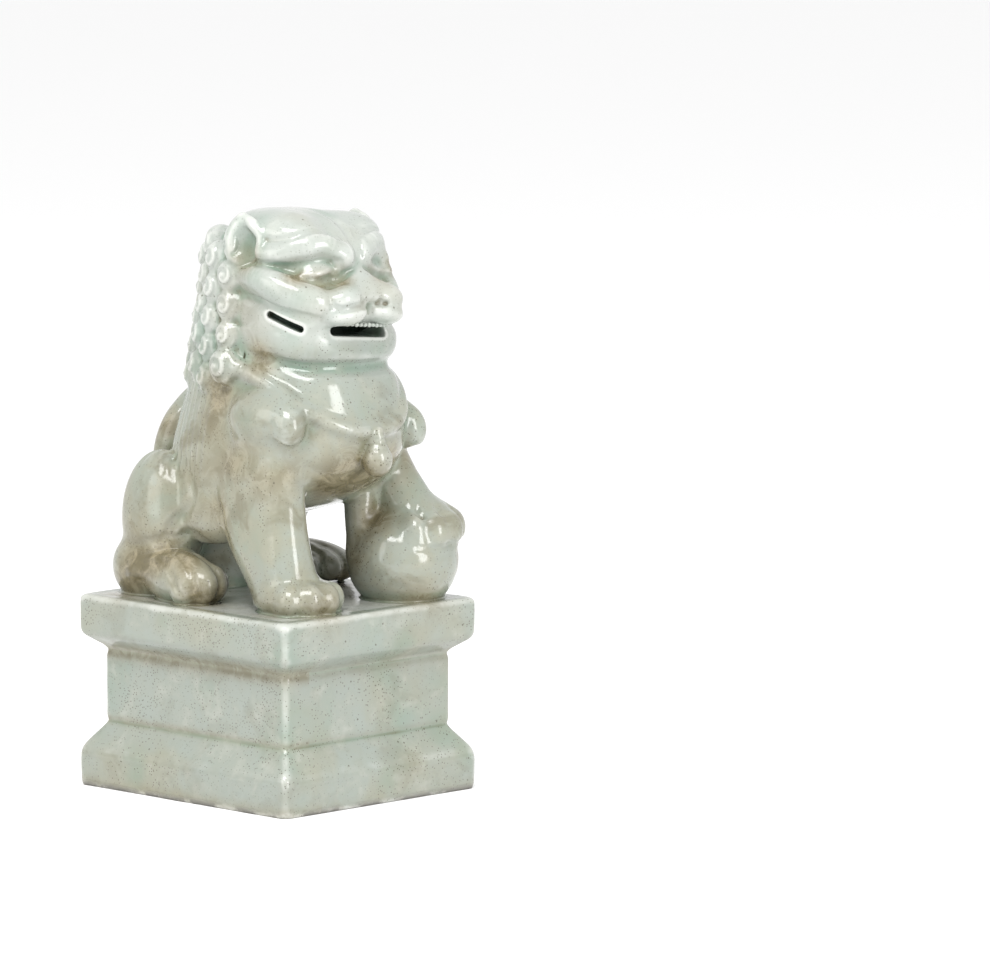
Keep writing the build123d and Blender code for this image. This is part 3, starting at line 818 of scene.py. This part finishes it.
def stain_and_shade_at(points):
    """How much brown stain and painted shade lies at each point, 0 to 1."""
    total = np.zeros(len(points))
    for middle, spread, strength in STAIN_AND_SHADE_SPOTS:
        for side in (-1, 1):
            away = points - above_deck(middle) * (side, 1, 1)
            share = strength if side > 0 else 0.8 * strength
            total += share * np.exp(-(away**2).sum(axis=1) / (spread * spread))
    low_down = points[:, 2] < DECK - 4
    on_right = np.where(points[:, 0] < -40, 1.0, 0.35)
    for height, spread, strength in STAIN_AND_SHADE_BANDS:
        total += low_down * strength * on_right * np.exp(-((points[:, 2] - height) / spread) ** 2)
    return np.clip(total, 0, 1)


# How the glaze is graded with height: least at the head, most at the deck, and one value on the plinth. Where
# it is least, the head is painted paler, a painted highlight standing for the top light; where it is more,
# the glaze is painted darker and warmer towards the deck.
GRADE_TOP = 140
GRADE_FALL = 110
LEAST_GRADE, MOST_GRADE = 0.04, 0.50
PLINTH_GRADE = 0.20
# How high up the foot's rim the clay is bare, and over what height the glaze thins to it.
BARE_TOP = 3.2
BARE_FADE = 2.4


def make_piece(name, points, faces, smooth_normals, values):
    """A mesh object in metres, with its normals and its values for the glaze, standing for the node."""
    mesh = bpy.data.meshes.new(name)
    mesh.vertices.add(len(points))
    mesh.vertices.foreach_set("co", (points * MM).astype(np.float32).ravel())
    mesh.loops.add(faces.size)
    mesh.loops.foreach_set("vertex_index", faces.astype(np.int32).ravel())
    mesh.polygons.add(len(faces))
    sides = faces.shape[1]
    mesh.polygons.foreach_set("loop_start", np.arange(0, faces.size, sides, dtype=np.int32))
    mesh.polygons.foreach_set("loop_total", np.full(len(faces), sides, dtype=np.int32))
    mesh.update(calc_edges=True)
    lion_grade = np.clip((DECK + GRADE_TOP - points[:, 2]) / GRADE_FALL, LEAST_GRADE, MOST_GRADE)
    values = dict(
        values,
        stain_and_shade=stain_and_shade_at(points),
        height_grade=np.where(points[:, 2] > DECK + 1, lion_grade, PLINTH_GRADE),
        bare=np.clip((BARE_TOP - points[:, 2]) / BARE_FADE, 0, 1),
    )
    for value_name, per_vertex in values.items():
        attribute = mesh.attributes.new(value_name, "FLOAT", "POINT")
        attribute.data.foreach_set("value", per_vertex.astype(np.float32))
    mesh.polygons.foreach_set("use_smooth", np.ones(len(faces), dtype=bool))
    if smooth_normals is not None:
        mesh.normals_split_custom_set_from_vertices(smooth_normals.astype(np.float32))
    mesh.materials.append(glaze)
    piece = bpy.data.objects.new(f"glazed_{name}", mesh)
    scene.collection.objects.link(piece)
    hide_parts(name)
    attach(piece, "root")


for number, name in enumerate(clay.names):
    if name == "deck":
        continue
    mine = quads[face_owner == number]
    used, packed = np.unique(mine, return_inverse=True)
    values = {"fine_hollow": fine_hollow[used], "wide_hollow": wide_hollow[used]}
    make_piece(name, vertices[used], packed.reshape(mine.shape), normals[used], values)

# ---- teeth: a row of beads along the upper lip ----
TEETH = 13
TOOTH_PITCH = 2.7
TOOTH_HEIGHT = 138.2


def add_beads():
    """The row of upper teeth, each a small bead pressed into the lip."""
    points, faces = [], []
    ring, rings = 10, 6
    for index in range(TEETH):
        across = (index - TEETH // 2) * TOOTH_PITCH + MOUTH_X
        height = DECK + TOOTH_HEIGHT - across * math.tan(MOUTH_TILT)
        centre = np.array((across, -41 - 21.5 * math.sqrt(1 - (across / 38) ** 2), height))
        wobble = 0.12 * math.sin(3.7 * index)
        radii = np.array((1.3, 1.2, 1.1 + wobble))
        base = len(points)
        for i in range(rings + 1):
            tilt = math.pi * i / rings
            for j in range(ring):
                turn = 2 * math.pi * j / ring
                direction = (math.sin(tilt) * math.cos(turn), math.sin(tilt) * math.sin(turn), math.cos(tilt))
                points.append(centre + radii * direction)
        for i in range(rings):
            for j in range(ring):
                a, b = base + i * ring + j, base + i * ring + (j + 1) % ring
                faces.append((a, a + ring, b + ring, b))
    points = np.array(points)
    hollow = np.full(len(points), 0.5)
    make_piece("upper_teeth", points, np.array(faces), None, {"fine_hollow": hollow, "wide_hollow": hollow})


add_beads()

# ---- plinth: a profile swept round the plan, with the deck inside it ----
WIDE, DEEP = cap_high[0], cap_high[1]
PLAN_CORNER = 3.4


def round_profile(corners, radii, spacing):
    """A chain of straight runs joined by arcs, as (inset, height) points."""
    corners = np.array(corners, dtype=float)
    line = [corners[0]]
    for i in range(1, len(corners) - 1):
        before = corners[i - 1] - corners[i]
        after = corners[i + 1] - corners[i]
        before /= np.linalg.norm(before)
        after /= np.linalg.norm(after)
        for t in np.linspace(0, 1, 7):
            start = corners[i] + before * radii[i]
            end = corners[i] + after * radii[i]
            line.append(start * (1 - t) ** 2 + corners[i] * 2 * t * (1 - t) + end * t**2)
    line.append(corners[-1])
    line = np.array(line)
    along = np.concatenate([[0], np.cumsum(np.linalg.norm(np.diff(line, axis=0), axis=1))])
    marks = np.linspace(0, along[-1], int(along[-1] / spacing))
    return np.stack([np.interp(marks, along, line[:, k]) for k in range(2)], axis=1)


PROFILE = (
    (7, 0.6), (0.8, 0.0), (0.2, 3), (0, 18.6), (8.7, foot_top - 1.2), (9.6, foot_top + 0.6),
    (9.0, foot_top + 3), (9.0, waist_top - 3), (9.6, waist_top - 0.6), (8.7, waist_top + 1.2),
    (0.2, 75.2), (0, 82), (0, DECK - 0.02), (7, DECK - 0.02),
)
PROFILE_ROUND = (0, 0.6, 1.2, 4.2, 1.6, 0.8, 1.2, 1.2, 0.8, 1.6, 2.6, 1.2, 3.4, 0)
profile = round_profile(PROFILE, PROFILE_ROUND, 0.8)


def plan_row(inset, spacing):
    """One ring round the plinth: a rounded rectangle set in from the widest, anticlockwise.

    Every ring has the same number of points on each side and each corner, so that
    rings stack into a grid whatever their inset.
    """
    wide, deep = WIDE - inset, DEEP - inset
    runs = (int(2 * WIDE / spacing), int(2 * DEEP / spacing))
    points, outward = [], []
    corners = ((1, 1, 0), (-1, 1, 90), (-1, -1, 180), (1, -1, 270))
    for index, (sign_x, sign_y, start) in enumerate(corners):
        middle = np.array((sign_x * (wide - PLAN_CORNER), sign_y * (deep - PLAN_CORNER)))
        angles = np.radians(np.linspace(start, start + 90, 9))
        arc = np.stack([np.cos(angles), np.sin(angles)], axis=1)
        points.extend(middle + PLAN_CORNER * arc)
        outward.extend(arc)
        next_x, next_y, _ = corners[(index + 1) % 4]
        next_middle = np.array((next_x * (wide - PLAN_CORNER), next_y * (deep - PLAN_CORNER)))
        for t in np.linspace(0, 1, runs[index % 2] + 2)[1:-1]:
            points.append(middle * (1 - t) + next_middle * t + PLAN_CORNER * arc[-1])
            outward.append(arc[-1])
    return np.array(points), np.array(outward)


plan_spacing = 1.0
plan_out = plan_row(0, plan_spacing)[1]
ring_points = np.stack([plan_row(inset, plan_spacing)[0] for inset in profile[:, 0]], axis=1)
heights = np.broadcast_to(profile[:, 1][None, :], ring_points.shape[:2])
shell = np.concatenate([ring_points, heights[:, :, None]], axis=2)


def slow_noise(points, scale, seed):
    """Smooth waves of several bearings, as a hand-pressed slab has."""
    random = np.random.default_rng(seed)
    total = np.zeros(points.shape[:-1])
    for _ in range(7):
        bearing = random.normal(size=3)
        bearing *= random.uniform(0.6, 1.6) / (scale * np.linalg.norm(bearing))
        total += np.sin(points @ bearing * 2 * math.pi + random.uniform(0, 6.28))
    return total / 7


def shell_normals(grid):
    """Normals of a grid of points that closes on itself the first way, from its neighbours."""
    du = np.roll(grid, -1, axis=0) - np.roll(grid, 1, axis=0)
    dv = np.gradient(grid, axis=1)
    normal = np.cross(du, dv)
    return normal / (np.linalg.norm(normal, axis=2)[:, :, None] + 1e-9)


KEY_SIZE = 8.5
KEY_COUNT = 4
KEY_PITCH = 1.22
KEY_START = (6, 5.5)
KEY_WIDTH = 0.75
KEY_DEPTH = 0.30
KEY_TURNS = ((0, 0), (0, 1), (1, 1), (1, 0.3), (0.42, 0.3), (0.42, 0.68))


def key_fret(along, height):
    """How deep the worn key fret on the foot's band is at a place, in mm.

    Along is the distance from the nearer corner of the plinth, where the border starts.
    """
    near = np.full(along.shape, 99.0)
    for unit in range(KEY_COUNT):
        turns = np.array(KEY_TURNS) * KEY_SIZE + (KEY_START[0] + unit * KEY_SIZE * KEY_PITCH, KEY_START[1])
        for start, end in zip(turns, turns[1:]):
            reach = end - start
            t = ((along - start[0]) * reach[0] + (height - start[1]) * reach[1]) / (reach @ reach)
            t = np.clip(t, 0, 1)
            off_along = along - start[0] - t * reach[0]
            off_height = height - start[1] - t * reach[1]
            near = np.minimum(near, np.hypot(off_along, off_height))
    return KEY_DEPTH * np.exp(-((near / KEY_WIDTH) ** 2))


out = shell_normals(shell)
from_corner = np.where(np.abs(out[..., 0]) > 0.7, DEEP - np.abs(shell[..., 1]), WIDE - np.abs(shell[..., 0]))
shell = shell - out * key_fret(from_corner, shell[..., 2])[..., None]
warp = 0.32 * slow_noise(shell, 60, 3) + 0.14 * slow_noise(shell, 16, 4)
shell = shell + out * warp[:, :, None]
shell[:, :, 2] = np.maximum(shell[:, :, 2], 0)
out = shell_normals(shell)

count_u, count_v = shell.shape[:2]
grid_number = np.arange(count_u * count_v).reshape(count_u, count_v)
ring_next = np.roll(grid_number, -1, axis=0)
shell_quads = np.stack([
    grid_number[:, :-1], ring_next[:, :-1], ring_next[:, 1:], grid_number[:, 1:],
], axis=2).reshape(-1, 4)
shell_flat = shell.reshape(-1, 3)
out_flat = out.reshape(-1, 3)
turning = np.zeros(len(profile))
for shift in (2, 4):
    ahead = np.roll(profile, -shift, axis=0) - profile
    behind = profile - np.roll(profile, shift, axis=0)
    bend = ahead[:, 0] * behind[:, 1] - ahead[:, 1] * behind[:, 0]
    turning += bend / (np.linalg.norm(ahead, axis=1) * np.linalg.norm(behind, axis=1) + 1e-6)
turning[:4] = turning[-4:] = 0
turning[(profile[:, 1] > waist_top) & (profile[:, 1] < DECK - 10)] *= 0.25
turning[(profile[:, 1] > foot_top - 14) & (profile[:, 1] < foot_top + 2)] *= 1.5
corner_pull = np.linalg.norm(plan_out - np.roll(plan_out, 3, axis=0), axis=1)
corner_pull += np.linalg.norm(plan_out - np.roll(plan_out, -3, axis=0), axis=1)
worn = 1 + 0.5 * slow_noise(shell, 24, 8)
hollow_grid = 0.5 - (0.085 * turning[None, :] + 0.065 * np.minimum(corner_pull, 1.2)[:, None]) * worn
hollow_flat = np.clip(hollow_grid, 0.2, 0.8).reshape(-1)

face_centre = shell_flat[shell_quads].mean(axis=1)
level = face_centre[:, 2]
slope_line = np.abs(face_centre[:, 1]) - (DEEP - WIDE) > np.abs(face_centre[:, 0])
is_foot = level < foot_top
is_cap = level > waist_top
waist = ~is_foot & ~is_cap
parts = {
    "plinth_foot": is_foot,
    "plinth_front_wall": waist & slope_line & (face_centre[:, 1] < 0),
    "plinth_back_wall": waist & slope_line & (face_centre[:, 1] > 0),
    "plinth_left_wall": waist & ~slope_line & (face_centre[:, 0] > 0),
    "plinth_right_wall": waist & ~slope_line & (face_centre[:, 0] < 0),
}
for name, chosen in parts.items():
    mine = shell_quads[chosen]
    used, packed = np.unique(mine, return_inverse=True)
    hollow = hollow_flat[used]
    values = {"fine_hollow": hollow, "wide_hollow": hollow}
    make_piece(name, shell_flat[used], packed.reshape(mine.shape), out_flat[used], values)

# The cap is its part of the shell with the deck fanned in behind the rim.
# The deck gets a ridge's hollow value so that it takes the pale glaze: painted light on its upward face.
DECK_PAINTED_LIGHT_HOLLOW = 0.38
cap_quads = shell_quads[is_cap]
used, packed = np.unique(cap_quads, return_inverse=True)
cap_points = shell_flat[used]
cap_faces = packed.reshape(cap_quads.shape)
rim = grid_number[:, -1]
rim_points = shell_flat[rim]
rings = [rim_points * (1 - t, 1 - t, 1) for t in np.linspace(0, 0.985, 40)[1:]]
deck_points = np.vstack(rings)
deck_points[:, 2] = DECK - 0.02
rim_packed = np.searchsorted(used, rim)
deck_number = len(used) + np.arange(len(deck_points)).reshape(len(rings), -1)
circles = np.vstack([rim_packed[None, :], deck_number])
inner = np.roll(circles, -1, axis=1)
deck_faces = np.stack([circles[:-1], inner[:-1], inner[1:], circles[1:]], axis=2).reshape(-1, 4)
all_points = np.vstack([cap_points, deck_points])
up = np.tile(np.array((0.0, 0.0, 1.0)), (len(deck_points), 1))
all_normals = np.vstack([out_flat[used], up])
hollow = np.concatenate([hollow_flat[used], np.full(len(deck_points), DECK_PAINTED_LIGHT_HOLLOW)])
values = {"fine_hollow": hollow, "wide_hollow": hollow}
make_piece("plinth_cap", all_points, np.vstack([cap_faces, deck_faces]), all_normals, values)

# ---- glaze ----
glaze.use_nodes = True
tree = glaze.node_tree
nodes, links = tree.nodes, tree.links
shader = nodes["Principled BSDF"]
place = nodes.new("ShaderNodeTexCoord").outputs["Object"]


def feed(socket, value):
    """Links a value to a socket, or sets it when it is a plain number or colour."""
    if isinstance(value, bpy.types.NodeSocket):
        links.new(value, socket)
    else:
        socket.default_value = value


def calc(operation, first, second=0.0, third=0.0):
    """One sum on numbers."""
    node = nodes.new("ShaderNodeMath")
    node.operation = operation
    for socket, value in zip(node.inputs, (first, second, third)):
        feed(socket, value)
    return node.outputs[0]


def between(value, low, high, result_low=0.0, result_high=1.0):
    """The value eased from low..high to the results, and held at both ends."""
    node = nodes.new("ShaderNodeMapRange")
    node.interpolation_type = "SMOOTHSTEP"
    for socket, given in zip(node.inputs, (value, low, high, result_low, result_high)):
        feed(socket, given)
    return node.outputs[0]


def cloud(per_metre, detail=3.0, roughness=0.55, distortion=0.0):
    """Noise with a number of features to the metre."""
    node = nodes.new("ShaderNodeTexNoise")
    links.new(place, node.inputs["Vector"])
    node.inputs["Scale"].default_value = per_metre
    node.inputs["Detail"].default_value = detail
    node.inputs["Roughness"].default_value = roughness
    node.inputs["Distortion"].default_value = distortion
    return node.outputs["Fac"]


def tint(base, over, amount):
    """One colour laid over another."""
    node = nodes.new("ShaderNodeMix")
    node.data_type = "RGBA"
    feed(node.inputs["Factor"], amount)
    feed(node.inputs["A"], base)
    feed(node.inputs["B"], over)
    return node.outputs["Result"]


def carried(name):
    """A value worked out at each point of the mesh."""
    node = nodes.new("ShaderNodeAttribute")
    node.attribute_name = name
    return node.outputs["Fac"]


def dots(per_metre, size, share):
    """Round specks: only a share of the cells holds one."""
    node = nodes.new("ShaderNodeTexVoronoi")
    links.new(place, node.inputs["Vector"])
    node.inputs["Scale"].default_value = per_metre
    pick = nodes.new("ShaderNodeSeparateColor")
    links.new(node.outputs["Color"], pick.inputs[0])
    inside = between(node.outputs["Distance"], size * 0.5, size, 1.0, 0.0)
    return calc("MULTIPLY", inside, calc("LESS_THAN", pick.outputs[0], share))


FLAT_GLAZE = (0.228, 0.258, 0.233, 1)
# Pale glaze: glaze run thin on ridges and edges, and also a painted highlight paling the head and the deck.
THIN_GLAZE_AND_HIGHLIGHT = (0.49, 0.50, 0.475, 1)
POOLED_GLAZE = (0.135, 0.212, 0.165, 1)
OCHRE_STAIN_AND_SHADE = (0.250, 0.206, 0.125, 1)
WARM_GLAZE = (0.222, 0.220, 0.163, 1)
DIRT_AND_SHADE = (0.094, 0.080, 0.040, 1)
SPECK = (0.055, 0.046, 0.028, 1)
BARE_CLAY = (0.12, 0.115, 0.10, 1)

fine, wide = carried("fine_hollow"), carried("wide_hollow")
stain_and_shade = carried("stain_and_shade")
patch = cloud(14, 3, 0.6, 0.4)
mottle = cloud(75, 5, 0.62, 0.3)
grain = cloud(420, 3, 0.6)
broken_fine = calc("MULTIPLY_ADD", calc("SUBTRACT", mottle, 0.5), 0.10, fine)
broken_wide = calc("MULTIPLY_ADD", calc("SUBTRACT", mottle, 0.5), 0.18, wide)

colour = tint(FLAT_GLAZE, WARM_GLAZE, between(patch, 0.46, 0.68, 0.0, 0.75))
# Paler head where the height grade is least: painted highlight standing for the top light.
colour = tint(colour, THIN_GLAZE_AND_HIGHLIGHT, between(carried("height_grade"), 0.13, 0.04, 0.0, 0.30))
colour = tint(colour, POOLED_GLAZE, between(cloud(22, 2, 0.5), 0.5, 0.7, 0.0, 0.50))
colour = tint(colour, POOLED_GLAZE, between(broken_wide, 0.52, 0.64, 0.0, 0.80))
colour = tint(colour, THIN_GLAZE_AND_HIGHLIGHT, between(broken_fine, 0.47, 0.36, 0.0, 0.75))
colour = tint(colour, THIN_GLAZE_AND_HIGHLIGHT, between(mottle, 0.5, 0.75, 0.0, 0.30))
# Warmer towards the deck, by the height grade.
colour = tint(colour, WARM_GLAZE, calc("MULTIPLY", carried("height_grade"), between(mottle, 0.35, 0.65, 0.6, 1.6)))
# Brown stain, with painted shade in the same spots and bands.
colour = tint(colour, OCHRE_STAIN_AND_SHADE, calc("MULTIPLY", stain_and_shade, 0.75))
crevice_dirt = calc("MULTIPLY", between(broken_fine, 0.545, 0.70), between(patch, 0.38, 0.6, 0.25, 0.8))
streaks = cloud(105, 6, 0.68, 0.9)
# The stain spots broken up by streaks; the painted shade comes with them.
spot_dirt_and_shade = calc("MULTIPLY", stain_and_shade, between(streaks, 0.38, 0.60, 0.10, 0.95))
# Dirt in the crevices, plus the stain spots with their painted shade, then the darkening towards the deck.
dirt_and_shade = calc("MAXIMUM", crevice_dirt, spot_dirt_and_shade)
# Darker towards the deck, by the height grade.
low_darkening = calc("MULTIPLY", carried("height_grade"), between(cloud(38, 4, 0.62, 0.5), 0.50, 0.68))
dirt_and_shade = calc("MAXIMUM", dirt_and_shade, low_darkening)
colour = tint(colour, DIRT_AND_SHADE, dirt_and_shade)
small_specks = dots(780, 0.34, 0.42)
large_specks = dots(240, 0.16, 0.20)
speck_drift = between(cloud(26, 2, 0.5), 0.38, 0.62, 0.25, 0.75)
speck_drift = calc("MULTIPLY", speck_drift, between(carried("height_grade"), 0.04, 0.14, 0.45, 1.0))
colour = tint(colour, SPECK, calc("MULTIPLY", small_specks, speck_drift))
colour = tint(colour, SPECK, calc("MULTIPLY", large_specks, 0.7))
bare = calc("MULTIPLY", carried("bare"), between(mottle, 0.40, 0.54))
colour = tint(colour, BARE_CLAY, bare)
feed(shader.inputs["Base Color"], colour)

roughness = between(mottle, 0.3, 0.7, 0.07, 0.15)
roughness = calc("MULTIPLY_ADD", dirt_and_shade, 0.22, roughness)
feed(shader.inputs["Roughness"], calc("MULTIPLY_ADD", bare, 0.5, roughness))
shader.inputs["IOR"].default_value = 1.52

relief = calc("MULTIPLY", cloud(48, 3, 0.5), 0.9)
relief = calc("MULTIPLY_ADD", mottle, 0.30, relief)
relief = calc("MULTIPLY_ADD", grain, 0.05, relief)
relief = calc("MULTIPLY_ADD", large_specks, -0.12, relief)
relief = calc("MULTIPLY_ADD", bare, -0.35, relief)
bump = nodes.new("ShaderNodeBump")
bump.inputs["Strength"].default_value = 0.5
bump.inputs["Distance"].default_value = 0.0011
links.new(relief, bump.inputs["Height"])
links.new(bump.outputs["Normal"], shader.inputs["Normal"])

# ---- floor, light ----
FLOOR_WHITE = (0.92, 0.92, 0.92, 1)
LIGHT_AIM = Vector((0, 0, 0.18))
bpy.ops.mesh.primitive_plane_add(size=8, location=(0, 0, 0))
floor = bpy.context.object
floor.name = "floor"
floor_material = bpy.data.materials.new("floor")
floor_material.use_nodes = True
floor_shader = floor_material.node_tree.nodes["Principled BSDF"]
floor_shader.inputs["Base Color"].default_value = FLOOR_WHITE
floor_shader.inputs["Roughness"].default_value = 0.8
floor.data.materials.append(floor_material)

world = bpy.data.worlds.new("studio")
world.use_nodes = True
background = world.node_tree.nodes["Background"]
background.inputs["Color"].default_value = (1, 1, 1, 1)
background.inputs["Strength"].default_value = 1.0
scene.world = world


def soft_box(name, bearing, height, distance, width, tall, power, colour=(1, 1, 1)):
    """A rectangular soft light, at a bearing in degrees to the right of the camera, aimed at the lion."""
    angle = VIEW_AZIMUTH + math.radians(bearing)
    place = Vector((math.sin(angle) * distance, -math.cos(angle) * distance, height))
    data = bpy.data.lights.new(name, "AREA")
    data.shape = "RECTANGLE"
    data.size = width
    data.size_y = tall
    data.energy = power
    data.color = colour
    light = bpy.data.objects.new(name, data)
    scene.collection.objects.link(light)
    light.location = place
    light.rotation_euler = (place - LIGHT_AIM).to_track_quat("Z", "Y").to_euler()


soft_box("left_box", -55, 0.68, 1.55, 0.95, 1.20, 9.5, (1, 0.985, 0.95))
soft_box("right_box", 46, 0.58, 1.6, 0.5, 1.05, 15)
soft_box("top_box", -14, 1.55, 0.95, 1.0, 0.75, 25)
